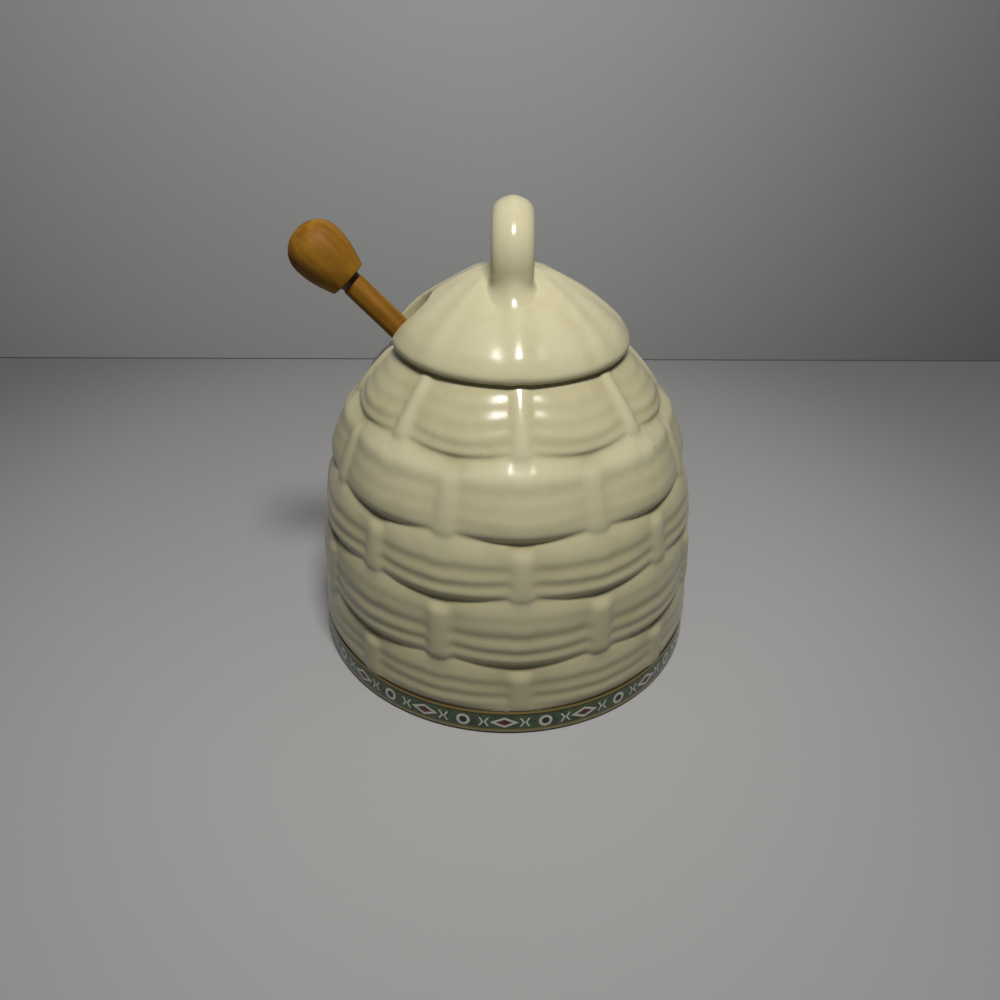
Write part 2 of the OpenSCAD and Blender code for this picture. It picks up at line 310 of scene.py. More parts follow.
class Weave:
    """The pressed basket weave, as a height over the plain outline at an angle and a course."""

    def __init__(self):
        s = sizes()
        self.s = s
        self.pitch = 360 / s.stakes
        self.half_pitch = self.pitch / 2
        self.heights = course_heights()
        self.courses = len(self.heights) - 1

    def from_stake(self, course, angle):
        return from_stake(angle, self.s.stake_turn + (course % 2) * self.half_pitch, self.pitch)

    def on_stake(self, away):
        return 1 - ease((away - (self.s.stake_half - STAKE_SIDE / 2)) / STAKE_SIDE)

    def bow(self, away):
        return np.sin(pi / 2 * np.clip((away - self.s.stake_half) / (self.half_pitch - self.s.stake_half), 0, 1))

    def crease_depth(self, course, angle):
        """Depth of the crease under a course, and how far it hangs below its own height."""
        away = self.from_stake(course, angle)
        bow, stake = self.bow(away), self.on_stake(away)
        inner = (course > 0) & (course < self.courses)
        strands = -(self.s.bow * TUCK + self.s.crease * (0.45 + 0.55 * bow))
        depth = np.where(inner, strands * (1 - stake) - 0.25 * MM * stake, -0.35 * MM * (1 - stake))
        drop = np.where(inner, self.s.sag * bow + 0.7 * MM * stake, 0)
        return np.where(course == self.courses, 0, depth), drop

    def press(self, angle, height):
        """Radius to add to the outline, the height it moves to, and how deep in a hollow the place is, for the
        painted shade and pooled glaze there.
        """
        course = np.clip(np.searchsorted(self.heights, height, "right") - 1, 0, self.courses - 1)
        low, high = self.heights[course], self.heights[course + 1]
        share = (height - low) / (high - low)
        share = share - 0.05 * np.sin(2 * pi * share)
        depth_low, drop_low = self.crease_depth(course, angle)
        depth_high, drop_high = self.crease_depth(course + 1, angle)
        away = self.from_stake(course, angle)
        bow, stake = self.bow(away), self.on_stake(away)
        up = share * (high - low)
        down = (1 - share) * (high - low)
        grooves = np.zeros_like(height)
        for k, course_grooves in enumerate(STRAND_GROOVES):
            for place, depth, width in course_grooves:
                cut = depth * np.exp(-np.abs((share - place) * (high - low) / (width * MM)) ** 1.5)
                grooves += np.where(course == k, cut, 0)
        grooves *= self.s.groove / 0.8 * (0.55 + 0.45 * bow)
        fullness = np.interp(share, FULLNESS_AT, FULLNESS) * np.take(COURSE_BOWS, course)
        strands = self.s.bow * (bow * fullness - TUCK) - grooves
        strands = depth_low + (strands - depth_low) * roll(up / (3.6 * MM))
        strands = depth_high + (strands - depth_high) * roll(down / (4.2 * MM))
        crown = self.s.stake_rise * np.take(STAKE_RISES, course) - 0.4 * MM * (away / self.s.stake_half) ** 2
        bar = depth_low + (crown - depth_low) * roll(up / (2.6 * MM))
        bar = depth_high + (bar - depth_high) * ease(down / (4.5 * MM))
        rise = strands * (1 - stake) + bar * stake
        moved = low + share * (high - low) - (1 - share) * drop_low - share * drop_high
        # Painted shade and pooled glaze: darker where the weave sinks into creases and grooves
        pooled_glaze_and_shade = ease((-0.1 * MM - rise) / (1.8 * MM)) * 0.7 + np.clip(grooves / MM, 0, 1) * (1 - stake) * 0.4
        return rise, moved, np.clip(pooled_glaze_and_shade, 0, 1)

    def glazed(self, angle, height):
        """The pressed weave, softened as the glaze fills its corners: a weighted mean over the places around."""
        reach = self.s.glaze_reach
        weights = np.array((1, 4, 6, 4, 1)) / 16
        total = [0, 0, 0]
        for across, share in zip((-2, -1, 0, 1, 2), weights):
            turn = np.degrees(across * reach / np.maximum(pot_outline(height), 20 * MM))
            for upward, other in zip((-2, -1, 0, 1, 2), weights):
                near = np.clip(height + upward * reach, self.s.band_high, self.s.pot_height)
                pressed = self.press(angle + turn, near)
                total = [t + share * other * p for t, p in zip(total, pressed)]
        return total[0], self.press(angle, height)[1], total[2]


def inner_outline():
    """Inside of the pot from the mouth down to the middle of the floor."""
    s = sizes()
    neck = s.pot_height - NECK
    fillet = FLOOR_FILLET
    fillet_height = s.floor + fillet
    fillet_radius = pot_outline(fillet_height) - s.wall - fillet
    mouth = s.mouth_width / 2
    points = [(mouth, s.pot_height - 0.8 * MM), (mouth, neck + 1 * MM)]
    for k in range(14, -1, -1):
        height = fillet_height + (neck - fillet_height) * k / 14
        points.append((max(mouth, pot_outline(height) - s.wall), height))
    for k in range(1, 9):
        turn = radians(90 - 11.25 * k)
        points.append((fillet_radius + fillet * cos(turn), fillet_height - fillet * sin(pi / 2 - turn)))
    return points + [(fillet_radius * 0.5, s.floor), (0, s.floor)]


def spread_columns(angle, turn, pitch):
    """Crowds the columns of a turned piece towards the sides of the stakes."""
    crowd = (0, 0.9, 1.7, 2.3, 2.8, 3.3, 3.9, 4.6, 5.7, 7.3, 9.2, pitch / 2)
    even = np.linspace(0, pitch, 2 * len(crowd) - 1)
    uneven = np.array(crowd + tuple(pitch - c for c in crowd[-2::-1]))
    turns = (angle + 90 - turn) / pitch
    whole = np.floor(turns)
    return (whole * pitch + np.interp((turns - whole) * pitch, even, uneven)) + turn - 90


def make_pot():
    s = sizes()
    weave_top = s.pot_height - 1.0 * MM
    rim = s.mouth_width / 2 + s.rim_width
    base = s.foot_width / 2
    mouth = s.mouth_width / 2
    seat = s.band_thickness + 0.05 * MM
    foot = rounded([
        (0, 1.5 * MM, 0), (base - 7.3 * MM, 1.5 * MM, 0.8 * MM), (base - 5.8 * MM, 0, 0.8 * MM),
        (base - 0.8 * MM, 0, 0.5 * MM), (base, s.band_low - 0.04 * MM, 0.15 * MM),
        (base - seat, s.band_low - 0.02 * MM, 0), (pot_outline(s.band_high) - seat, s.band_high - 0.3 * MM, 0),
    ])
    wall = [(pot_outline(h) - (0.3 * MM if h == s.band_high else 0), h) for h in course_heights()[:-1]]
    top = rounded([
        (pot_outline(weave_top), weave_top, 0), (rim - 0.05 * MM, s.pot_height, 0.6 * MM),
        (mouth, s.pot_height, 0.7 * MM), (mouth, s.pot_height - 3 * MM, 0),
    ])[:-1]
    outline = foot + wall + top + inner_outline()[1:]
    made = turned("woven_pot", outline, int(s.stakes) * 2 * COLUMNS_PER_STAKE)

    # Rows for the weave: the upright edges of each course are cut into short lengths
    bpy.ops.object.mode_set(mode="EDIT")
    bpy.ops.mesh.select_mode(type="EDGE")
    bpy.ops.mesh.select_all(action="DESELECT")
    bpy.ops.object.mode_set(mode="OBJECT")
    places = points_of(made)
    outside = np.hypot(places[:, 0], places[:, 1]) > np.interp(
        places[:, 2], [h for _, h in wall] + [weave_top], [r - 2 * MM for r, _ in wall] + [mouth + 1 * MM])
    on_wall = outside & (places[:, 2] > s.band_high - 0.1 * MM) & (places[:, 2] < weave_top + 0.05 * MM)
    ends = np.empty(len(made.data.edges) * 2, np.int32)
    made.data.edges.foreach_get("vertices", ends)
    ends = ends.reshape(-1, 2)
    upright = on_wall[ends].all(1) & (np.abs(places[ends[:, 0], 2] - places[ends[:, 1], 2]) > 1 * MM)
    made.data.edges.foreach_set("select", upright)
    bpy.ops.object.mode_set(mode="EDIT")
    bpy.ops.mesh.subdivide(number_cuts=ROWS_PER_COURSE - 1)
    bpy.ops.object.mode_set(mode="OBJECT")

    # The weave is pressed into the wall
    places = points_of(made)
    radius = np.hypot(places[:, 0], places[:, 1])
    angle = spread_columns(np.degrees(np.arctan2(places[:, 1], places[:, 0])), s.stake_turn, 180 / s.stakes)
    height = places[:, 2]
    pressed = (height > s.band_high - 0.05 * MM) & (height < weave_top + 0.02 * MM) & (radius > mouth + 2 * MM)
    pressed &= radius > np.array([pot_outline(h) for h in np.clip(height, 0, s.pot_height)]) - 3 * MM
    rise, moved, pooled_glaze_and_shade = Weave().glazed(angle, np.clip(height, s.band_high, s.pot_height))
    fade = ease((weave_top - height) / (0.6 * MM))
    new_height = np.where(pressed, height + (moved - height) * fade, height)
    new_radius = np.where(pressed, pot_outline(new_height) + rise * fade, radius)
    set_points(made, np.stack([
        new_radius * np.cos(np.radians(angle)), new_radius * np.sin(np.radians(angle)), new_height], 1))
    # Kept per point for the painted shade and pooled glaze in the material
    keep_value(made, "pooled_glaze_and_shade", np.where(pressed, pooled_glaze_and_shade * fade, 0))
    cut_rest_groove(made)
    return made


# The dipper's axis from its joint, and the middle of the stem from its solid
STEM_ALONG = Vector(next(joint for joint in frame["joints"] if joint["child"] == "dipper")["axis"]).normalized()
STEM_MIDDLE = (STEM_BOX[0] + STEM_BOX[1]) / 2
STEM_TURN = Euler((0, atan2(STEM_ALONG.x, STEM_ALONG.z), 0))


def stem_length():
    return (STEM_BOX[1].z - STEM_BOX[0].z - sizes().stem_width * abs(STEM_ALONG.x)) / STEM_ALONG.z


def lay_on_dipper(made, start):
    """Puts a piece drawn upwards from the origin onto the dipper's axis, start metres from the stem's foot."""
    only(made)
    made.rotation_euler = STEM_TURN
    made.location = STEM_MIDDLE + STEM_ALONG * (start - stem_length() / 2)
    bpy.ops.object.transform_apply(location=True, rotation=True, scale=True)


def cut_with(made, cutter):
    modifier = made.modifiers.new("Cut", "BOOLEAN")
    modifier.operation = "DIFFERENCE"
    modifier.solver = "EXACT"
    modifier.object = cutter
    apply_modifiers(made)
    bpy.data.objects.remove(cutter)


def cut_rest_groove(made):
    """Sloping groove in the rim that the stem lies in."""
    bpy.ops.object.select_all(action="DESELECT")
    bpy.ops.mesh.primitive_cylinder_add(vertices=64, radius=sizes().stem_width / 2 + GROOVE_PLAY, depth=GROOVE_CUT)
    cutter = named("groove_cutter")
    crossing = (POT_BOX[1].z - STEM_MIDDLE.z) / STEM_ALONG.z
    lay_on_dipper(cutter, stem_length() / 2 + crossing)
    cut_with(made, cutter)


# The lid


def dome(radius):
    s = sizes()
    share = np.clip(radius / (s.lid_width / 2), 0, 1)
    return s.pot_height + s.lid_edge + s.lid_rise * (1 - share ** 1.3) ** 0.75


RIB_HALF = 2.9 * MM


def dome_relief(radius, angle):
    """Narrow ribs in soft valleys, with a swelling lobe between each two."""
    s = sizes()
    share = np.clip(radius / (s.lid_width / 2), 0, 1)
    away = from_stake(angle, s.stake_turn, 360 / s.stakes)
    lobes = np.sin(np.radians(away * s.stakes / 2)) ** 2
    arc = np.radians(away) * radius
    ribs = 1.8 * np.exp(-(arc / RIB_HALF) ** 2)
    # A lobe swells from the top, swells once more half-way down and falls away at the edge
    swelling = 0.7 * ease(share / 0.4) + 0.6 * ease((share - 0.45) / 0.35) - 0.9 * ease((share - 0.9) / 0.1)
    return s.rib * (lobes * swelling - 0.4 * ease(share / 0.4)
                    + ribs * ease((share - 0.2) / 0.2) * (1 - 0.5 * ease((share - 0.9) / 0.1)))


def lid_surface(x, y):
    radius = np.hypot(x, y)
    return dome(radius) + dome_relief(radius, np.degrees(np.arctan2(y, x)))


def notch_edge_distance(places):
    """Distance in the plan from a point to the side of the notch."""
    s = sizes()
    half = s.notch_width / 2
    end = -(s.lid_width / 2 - s.notch_length + half)
    inward = np.hypot(np.maximum(places[:, 0] - end, 0), places[:, 1])
    return np.abs(inward - half)


# The ring under the lid: play in the mouth, thickness and depth below the rim
RING_PLAY = 0.4 * MM
RING_THICKNESS = 3 * MM
RING_DEPTH = 4.5 * MM
# Size of the cells in which the lid's skin is rebuilt
SKIN_CELL = 0.42 * MM


def make_lid():
    s = sizes()
    edge = s.lid_width / 2
    flange = s.mouth_width / 2 - RING_PLAY
    hollow = flange - RING_THICKNESS
    rest = s.pot_height + 0.02 * MM
    radii = [edge * sin(pi / 2 * k / 60) for k in range(60)]
    top = [(radius, float(dome(radius))) for radius in radii]
    under = rounded([
        (edge, float(dome(edge)), 0), (edge - 0.15 * MM, rest - 0.3 * MM, 0.7 * MM),
        (edge - 0.65 * MM, rest - 0.9 * MM, 0.5 * MM), (edge - 1.7 * MM, rest, 0.4 * MM),
        (flange, rest, 0.4 * MM), (flange, s.pot_height - RING_DEPTH, 0.8 * MM),
        (hollow, s.pot_height - RING_DEPTH, 0.8 * MM), (hollow, float(dome(hollow)) - s.lid_wall, 1.5 * MM),
        (hollow * 0.9, float(dome(hollow * 0.9)) - s.lid_wall, 0),
    ])
    ceiling = [(hollow * k / 10, float(dome(hollow * k / 10)) - s.lid_wall) for k in range(8, -1, -1)]
    made = turned("lid_dome", top + under + ceiling, 192)

    places = points_of(made)
    radius = np.hypot(places[:, 0], places[:, 1])
    angle = np.degrees(np.arctan2(places[:, 1], places[:, 0]))
    outer = places[:, 2] > dome(radius) - 0.5 * MM
    places[:, 2] += np.where(outer, dome_relief(radius, angle), 0)
    set_points(made, places)

    # Notch for the dipper: a cylinder whose outer half is pulled out past the edge
    half = s.notch_width / 2
    end = -(edge - s.notch_length + half)
    bpy.ops.object.select_all(action="DESELECT")
    bpy.ops.mesh.primitive_cylinder_add(vertices=72, radius=half, depth=60 * MM, location=(end, 0, s.pot_height))
    cutter = named("notch_cutter")
    bpy.ops.object.transform_apply()
    bpy.ops.object.mode_set(mode="EDIT")
    bpy.ops.mesh.select_mode(type="VERT")
    bpy.ops.mesh.select_all(action="DESELECT")
    bpy.ops.object.mode_set(mode="OBJECT")
    cutter.data.vertices.foreach_set("select", points_of(cutter)[:, 0] < end - 0.01 * MM)
    bpy.ops.object.mode_set(mode="EDIT")
    bpy.ops.transform.translate(value=(-2 * half, 0, 0))
    bpy.ops.object.mode_set(mode="OBJECT")
    cut_with(made, cutter)

    # Passage for the stem through the ring under the lid
    stem_side = (STEM_BOX[0].y + STEM_BOX[1].y) / 2
    bpy.ops.object.select_all(action="DESELECT")
    bpy.ops.mesh.primitive_cube_add(
        size=1, location=(-s.mouth_width / 2 * 0.75, stem_side, s.pot_height - 3 * MM))
    cutter = named("passage_cutter")
    cutter.scale = (s.mouth_width / 4, s.stem_width + 3 * MM, 6 * MM)
    bpy.ops.object.transform_apply(location=True, rotation=True, scale=True)
    cut_with(made, cutter)

    # The glaze rounds every cut edge: the skin is rebuilt in fine cells and smoothed
    skin = made.modifiers.new("Skin", "REMESH")
    skin.mode = "VOXEL"
    skin.voxel_size = SKIN_CELL
    skin.use_smooth_shade = True
    apply_modifiers(made)
    soft = made.modifiers.new("Soft", "SMOOTH")
    soft.factor = 0.5
    soft.iterations = 8
    apply_modifiers(made)

    # Away from the cut edges the dome is drawn back onto its true surface
    places = points_of(made)
    radius = np.hypot(places[:, 0], places[:, 1])
    angle = np.degrees(np.arctan2(places[:, 1], places[:, 0]))
    true = dome(radius) + dome_relief(radius, angle)
    near = ease((notch_edge_distance(places) - 0.6 * MM) / (1.0 * MM))
    near *= ease((edge - 1.2 * MM - radius) / (1.5 * MM)) * (np.abs(places[:, 2] - true) < 0.8 * MM)
    places[:, 2] += (true - places[:, 2]) * near
    set_points(made, places)
    # Painted shade, with pooled glaze, in the valleys beside the ribs and under the lid
    away = from_stake(angle, s.stake_turn, 360 / s.stakes)
    valley = np.exp(-((away - 9) / 5) ** 2) * ease(radius / (12 * MM))
    keep_value(made, "pooled_glaze_and_shade", np.where(places[:, 2] > dome(radius) - 1.2 * MM, 0.12 * valley, 0.15))
    return made


# The handle's feet: rings drawn down each foot, rings sunk into the dome, how far a foot reaches out and
# how high above the dome it starts, each at the sides and how much more at its outer side, and its end's depth
FOOT_RINGS = 12
SUNK_RINGS = 3
FOOT_REACH = (1.5 * MM, 4.6 * MM)
FOOT_START = (2.2 * MM, 3.2 * MM)
FOOT_END_DEPTH = 2.2 * MM
# Two heights closer than this are one ring
SAME_HEIGHT = 0.01 * MM


def make_handle():
    s = sizes()
    half_width, half_thick = s.handle_width / 2, s.handle_thickness / 2
    span = s.handle_span / 2
    middle = span - half_thick
    centre = HANDLE_BOX[1].z - span
    around = 48
    bpy.ops.object.select_all(action="DESELECT")
    bpy.ops.mesh.primitive_circle_add(vertices=around, radius=1, location=(0, -middle, centre))
    made = named("loop_handle")
    made.scale = (half_width, half_thick, 1)
    bpy.ops.object.transform_apply(location=True, rotation=True, scale=True)
    section = points_of(made)
    ridge = 1 - 0.05 * (1 - np.exp(-(section[:, 0] / (0.3 * half_width)) ** 2))
    section[:, 1] = (section[:, 1] + middle) * ridge - middle
    set_points(made, section)
    bpy.ops.object.mode_set(mode="EDIT")
    bpy.ops.mesh.select_all(action="SELECT")
    bpy.ops.mesh.spin(steps=40, angle=pi, center=(0, 0, centre), axis=(1, 0, 0))
    bpy.ops.object.mode_set(mode="OBJECT")
    places = points_of(made)
    if places[:, 2].min() < centre - 1 * MM:
        raise RuntimeError("the loop was spun downwards")

    # Feet: the two open ends are pulled down and opened onto the dome
    for side in (-1, 1):
        places = points_of(made)
        foot = (np.abs(places[:, 2] - centre) < SAME_HEIGHT) & (places[:, 1] * side > 0)
        bpy.ops.object.mode_set(mode="EDIT")
        bpy.ops.mesh.select_all(action="DESELECT")
        bpy.ops.object.mode_set(mode="OBJECT")
        made.data.vertices.foreach_set("select", foot)
        ends = np.empty(len(made.data.edges) * 2, np.int32)
        made.data.edges.foreach_get("vertices", ends)
        made.data.edges.foreach_set("select", foot[ends.reshape(-1, 2)].all(1))
        bpy.ops.object.mode_set(mode="EDIT")
        for k in range(FOOT_RINGS + SUNK_RINGS):
            bpy.ops.mesh.extrude_region_move(TRANSFORM_OT_translate={"value": (0, 0, -1 * MM)})
        bpy.ops.mesh.merge(type="CENTER")
        bpy.ops.object.mode_set(mode="OBJECT")
    places = points_of(made)
    for side in (-1, 1):
        for k in range(1, FOOT_RINGS + SUNK_RINGS):
            ring = (np.abs(places[:, 2] - (centre - k * MM)) < SAME_HEIGHT) & (places[:, 1] * side > 0)
            across = places[ring, 0] / half_width
            out = (places[ring, 1] - side * middle) / half_thick * side
            front = np.clip(out, 0, 1) ** 3
            reach = FOOT_REACH[0] + FOOT_REACH[1] * front
            start_x, start_y = places[ring, 0], places[ring, 1]
            size = np.hypot(across * half_width, out * half_thick)
            end_x = start_x * (1 + reach / size)
            end_y = side * middle + (start_y - side * middle) * (1 + reach / size)
            floor_z = lid_surface(start_x, start_y)
            end_z = lid_surface(end_x, end_y) - 0.16 * MM
            start_z = np.minimum(floor_z + FOOT_START[0] + FOOT_START[1] * front, centre - 0.05 * MM)
            t = min((k - 1) / (FOOT_RINGS - 1), 1)
            new = np.stack([
                (1 - t) ** 2 * start_x + 2 * t * (1 - t) * start_x + t * t * end_x,
                (1 - t) ** 2 * start_y + 2 * t * (1 - t) * start_y + t * t * end_y,
                (1 - t) ** 2 * start_z + 2 * t * (1 - t) * floor_z + t * t * end_z], 1)
            if k > FOOT_RINGS:
                new[:, 2] -= 0.7 * MM * (k - FOOT_RINGS)
                shrink = 1 - 0.3 * (k - FOOT_RINGS)
                new[:, 0] *= shrink
                new[:, 1] = side * middle + (new[:, 1] - side * middle) * shrink
            places[ring] = new
    low = np.abs(places[:, 2] - (centre - (FOOT_RINGS + SUNK_RINGS) * MM)) < SAME_HEIGHT
    places[low, 2] = float(dome(middle)) - FOOT_END_DEPTH
    set_points(made, places)
    only(made)
    bpy.ops.object.mode_set(mode="EDIT")
    bpy.ops.mesh.select_all(action="SELECT")
    bpy.ops.mesh.normals_make_consistent(inside=False)
    bpy.ops.object.mode_set(mode="OBJECT")
    bpy.ops.object.shade_smooth()
    # Painted shade where the handle's feet meet the dome
    keep_value(made, "pooled_glaze_and_shade", 0.12 * ease((dome(14 * MM) + 3 * MM - points_of(made)[:, 2]) / (5 * MM)))
    return made


# Border and dipper


def make_border():
    s = sizes()
    base = s.foot_width / 2
    upper = pot_outline(s.band_high)
    thick = s.band_thickness
    low, high = s.band_low, s.band_high
    outline = rounded([
        (base - thick, low + 2 * MM, 0), (base - thick, low, 0), (base, low, 0.12 * MM),
        (upper, high, 0.3 * MM), (upper - thick, high, 0), (base - thick, low + 2 * MM, 0),
    ], 3)
    return turned("foot_border", outline, 288)


# How deep the stem goes into the knob and into the head, and how far the glue ring reaches down from the knob
KNOB_DEPTH = 7.95 * MM
HEAD_DEPTH = 7.95 * MM
GLUE_LENGTH = 1.5 * MM
# The head: width of a groove, radius of the core between grooves, plain length at the top and at both ends
HEAD_GROOVE = 1.9 * MM
HEAD_CORE = 5.2 * MM
HEAD_COLLAR = 2.5 * MM
HEAD_PLAIN = 6 * MM


def make_stem():
    s = sizes()
    r = s.stem_width / 2
    top = stem_length()
    shoulder = top - KNOB_DEPTH - GLUE_LENGTH
    outline = rounded([
        (0, 0, 0), (r, 0, 0.4 * MM), (r, shoulder * 0.5, 0), (r, shoulder, 0.35 * MM),
        (r - 0.5 * MM, shoulder + 0.25 * MM, 0), (r - 0.55 * MM, top, 0.2 * MM), (0, top, 0),
    ], 4)
    made = turned("dipper_dowel", outline, 64)
    lay_on_dipper(made, 0)
    return made


def make_glue_ring():
    """Squeezed-out glue between the dowel and the knob."""
    s = sizes()
    r = s.stem_width / 2 - 0.25 * MM
    inner = r - 0.6 * MM
    outline = rounded([
        (inner, -GLUE_LENGTH, 0), (r - 0.1 * MM, -GLUE_LENGTH, 0.2 * MM), (r, -0.7 * MM, 0.4 * MM),
        (r + 0.2 * MM, 0.05 * MM, 0), (inner, 0.05 * MM, 0), (inner, -GLUE_LENGTH, 0),
    ], 3)
    made = turned("glue_ring", outline, 48)
    lay_on_dipper(made, stem_length() - KNOB_DEPTH)
    return made


def make_knob():
    s = sizes()
    wide, flat, tall = s.knob_width / 2, s.knob_flat / 2, s.knob_length
    widest = 0.58  # share of the length at which the knob is widest
    bore, bore_depth = 2.9 * MM, 2 * MM
    body = [(flat + (wide - flat) * sin(pi / 2 * k / 14), tall * widest * k / 14) for k in range(1, 15)]
    tip = []
    for k in range(1, 19):
        rise = sin(pi / 2 * k / 18)
        tip.append((wide * sqrt(max(0, 1 - rise ** 2.3)), tall * (widest + (1 - widest) * rise)))
    end = rounded([
        (bore, bore_depth, 0), (bore, 0, 0.3 * MM), (flat, 0, 0.7 * MM), body[0] + (0,),
    ], 5)
    made = turned("dipper_knob_turned", [(0, bore_depth)] + end + body[1:] + tip, 96)
    lay_on_dipper(made, stem_length() - KNOB_DEPTH)
    return made


def rising(corners):
    """Drops corners that an arc puts below a groove that comes before them."""
    kept = [corners[0]]
    for corner in corners[1:]:
        if corner[1] >= kept[-1][1] - 1e-9:
            kept.append(corner)
    return kept


def make_head():
    s = sizes()
    wide, tall, core = s.head_width / 2, s.head_length, HEAD_CORE
    top = tall - wide
    corners = [(0, -wide, 0)]
    corners += [(wide * sin(radians(a)), -wide * cos(radians(a)), 0) for a in range(15, 90, 15)]
    pitch = (tall - HEAD_PLAIN) / s.head_grooves

    def out_at(height):
        return wide if height > 0 else sqrt(max(wide ** 2 - height ** 2, 0))

    for k in range(s.head_grooves - 1, -1, -1):
        low = top - HEAD_COLLAR - HEAD_GROOVE - k * pitch
        high = low + HEAD_GROOVE
        corners = [c for c in corners if c[1] < low - 0.2 * MM]
        corners += [(out_at(low), low, 0.35 * MM), (core, low, 0.3 * MM), (core, high, 0.3 * MM),
                    (out_at(high), high, 0.35 * MM)]
    corners += [(wide, top - (wide - core), 0.4 * MM)]
    corners += [(core + (wide - core) * cos(radians(a)), top - (wide - core) * (1 - sin(radians(a))), 0)
                for a in (30, 60)]
    corners += [(core, top, 0.3 * MM), (0, top, 0)]
    made = turned("dipper_head_turned", rounded(rising(corners), 3), 96)
    lay_on_dipper(made, HEAD_DEPTH - top)
    return made


# Finishes


class Wire:
    """One output of a node. Python's operators on it add Math nodes."""

    def __init__(self, finish, socket):
        self.finish, self.socket = finish, socket

    def beside(self, output):
        """Another output of the same node."""
        return Wire(self.finish, self.socket.node.outputs[output])

    def math(self, operation, *others):
        return self.finish.node("ShaderNodeMath", {"operation": operation}, dict(enumerate((self,) + others)))

    def __add__(self, other):
        return self.math("ADD", other)

    def __sub__(self, other):
        return self.math("SUBTRACT", other)

    def __rsub__(self, other):
        return self.math("MULTIPLY", -1) + other

    def __mul__(self, other):
        return self.math("MULTIPLY", other)

    def __truediv__(self, other):
        return self.math("DIVIDE", other)

    def __pow__(self, other):
        return self.math("POWER", other)

    def __gt__(self, other):
        return self.math("GREATER_THAN", other)

    def __mod__(self, other):
        return self.math("FLOORED_MODULO", other)

    def __abs__(self):
        return self.math("ABSOLUTE")

    __radd__ = __add__
    __rmul__ = __mul__

    def most(self, other):
        return self.math("MAXIMUM", other)

    def soft_step(self, low, high):
        """0 below low, 1 above high, and smooth between."""
        return self.finish.node(
            "ShaderNodeMapRange", {"interpolation_type": "SMOOTHSTEP"},
            {"Value": self, "From Min": low, "From Max": high})


class Finish:
    """A material and the nodes that make it."""

    def __init__(self, name):
        self.material = bpy.data.materials.new(name)
        self.material.use_nodes = True
        self.tree = self.material.node_tree
        self.shader = self.tree.nodes["Principled BSDF"]
        self.place = self.node("ShaderNodeTexCoord", output="Object")

    def node(self, kind, settings=None, values=None, output=0):
        made = self.tree.nodes.new(kind)
        for key, value in (settings or {}).items():
            setattr(made, key, value)
        for key, value in (values or {}).items():
            self.feed(made.inputs[key], value)
        return Wire(self, made.outputs[output])

    def feed(self, socket, value):
        if isinstance(value, Wire):
            self.tree.links.new(value.socket, socket)
        elif socket.type == "RGBA" and len(value) == 3:
            socket.default_value = (*value, 1)
        else:
            socket.default_value = value

    def surface(self, **values):
        for key, value in values.items():
            self.feed(self.shader.inputs[key.replace("_", " ")], value)

    def mix(self, share, first, second):
        """A colour between two others."""
        return self.node("ShaderNodeMix", {"data_type": "RGBA"}, {0: share, 6: first, 7: second}, 2)

    def cloud(self, scale, detail=2.0, where=None, rough=0.5):
        return self.node("ShaderNodeTexNoise", None, {
            "Vector": where or self.place, "Scale": scale, "Detail": detail, "Roughness": rough})

    def axes(self):
        x = self.node("ShaderNodeSeparateXYZ", None, {0: self.place})
        return [x, x.beside("Y"), x.beside("Z")]

    def bump(self, height, strength, distance, under=None):
        values = {"Height": height, "Strength": strength, "Distance": distance}
        if under:
            values["Normal"] = under
        return self.node("ShaderNodeBump", None, values)


GLAZE = "cream_glaze"


def glaze_finish():
    """Cream glaze, shared by the pot, the lid and the handle."""
    if GLAZE in bpy.data.materials:
        return bpy.data.materials[GLAZE]
    c = colours()
    f = Finish(GLAZE)
    # Depth of the hollows, for the painted shade and pooled glaze
    pooled_glaze_and_shade = f.node("ShaderNodeAttribute", {"attribute_name": "pooled_glaze_and_shade"}, None, "Fac")
    drift = f.cloud(28, 3)
    mottle = f.cloud(140, 4, rough=0.6)
    tone = f.mix((drift - 0.35) * 0.9, c.glaze, c.glaze_thin)
    # Painted shade: the glaze darkens towards the bottom of the pot
    tone = f.mix((1 - f.axes()[2].soft_step(0.005, 0.075)) * 0.35, tone, c.thick_glaze_and_shade)
    # Random mottling, and pooled glaze with painted shade in the hollows
    tone = f.mix(((mottle - 0.5) * 0.9).most(0) + pooled_glaze_and_shade * (0.75 + mottle * 0.4), tone, c.thick_glaze_and_shade)
    cell_distance = f.node("ShaderNodeTexVoronoi", None, {"Vector": f.place, "Scale": 300})
    chance = f.node("ShaderNodeSeparateColor", None, {0: cell_distance.beside("Color")})
    size = chance.beside(1)
    specks = (chance > 0.93) * (1 - cell_distance.soft_step(0.03, 0.12)) * (0.1 + size * 0.5)
    tone = f.mix(specks, tone, c.speck)
    waves = f.bump(f.cloud(90, 2), 0.10, 0.0006)
    fine = f.bump(f.cloud(700, 2), 0.05, 0.0002, waves)
    f.surface(Base_Color=tone, Roughness=0.14 + mottle * 0.12, Normal=fine, IOR=1.5)
    return f.material


# The printed border: repeats round the foot, and the height of the motifs' middle as a share
BORDER_REPEATS = 16
BORDER_MIDDLE = 0.45


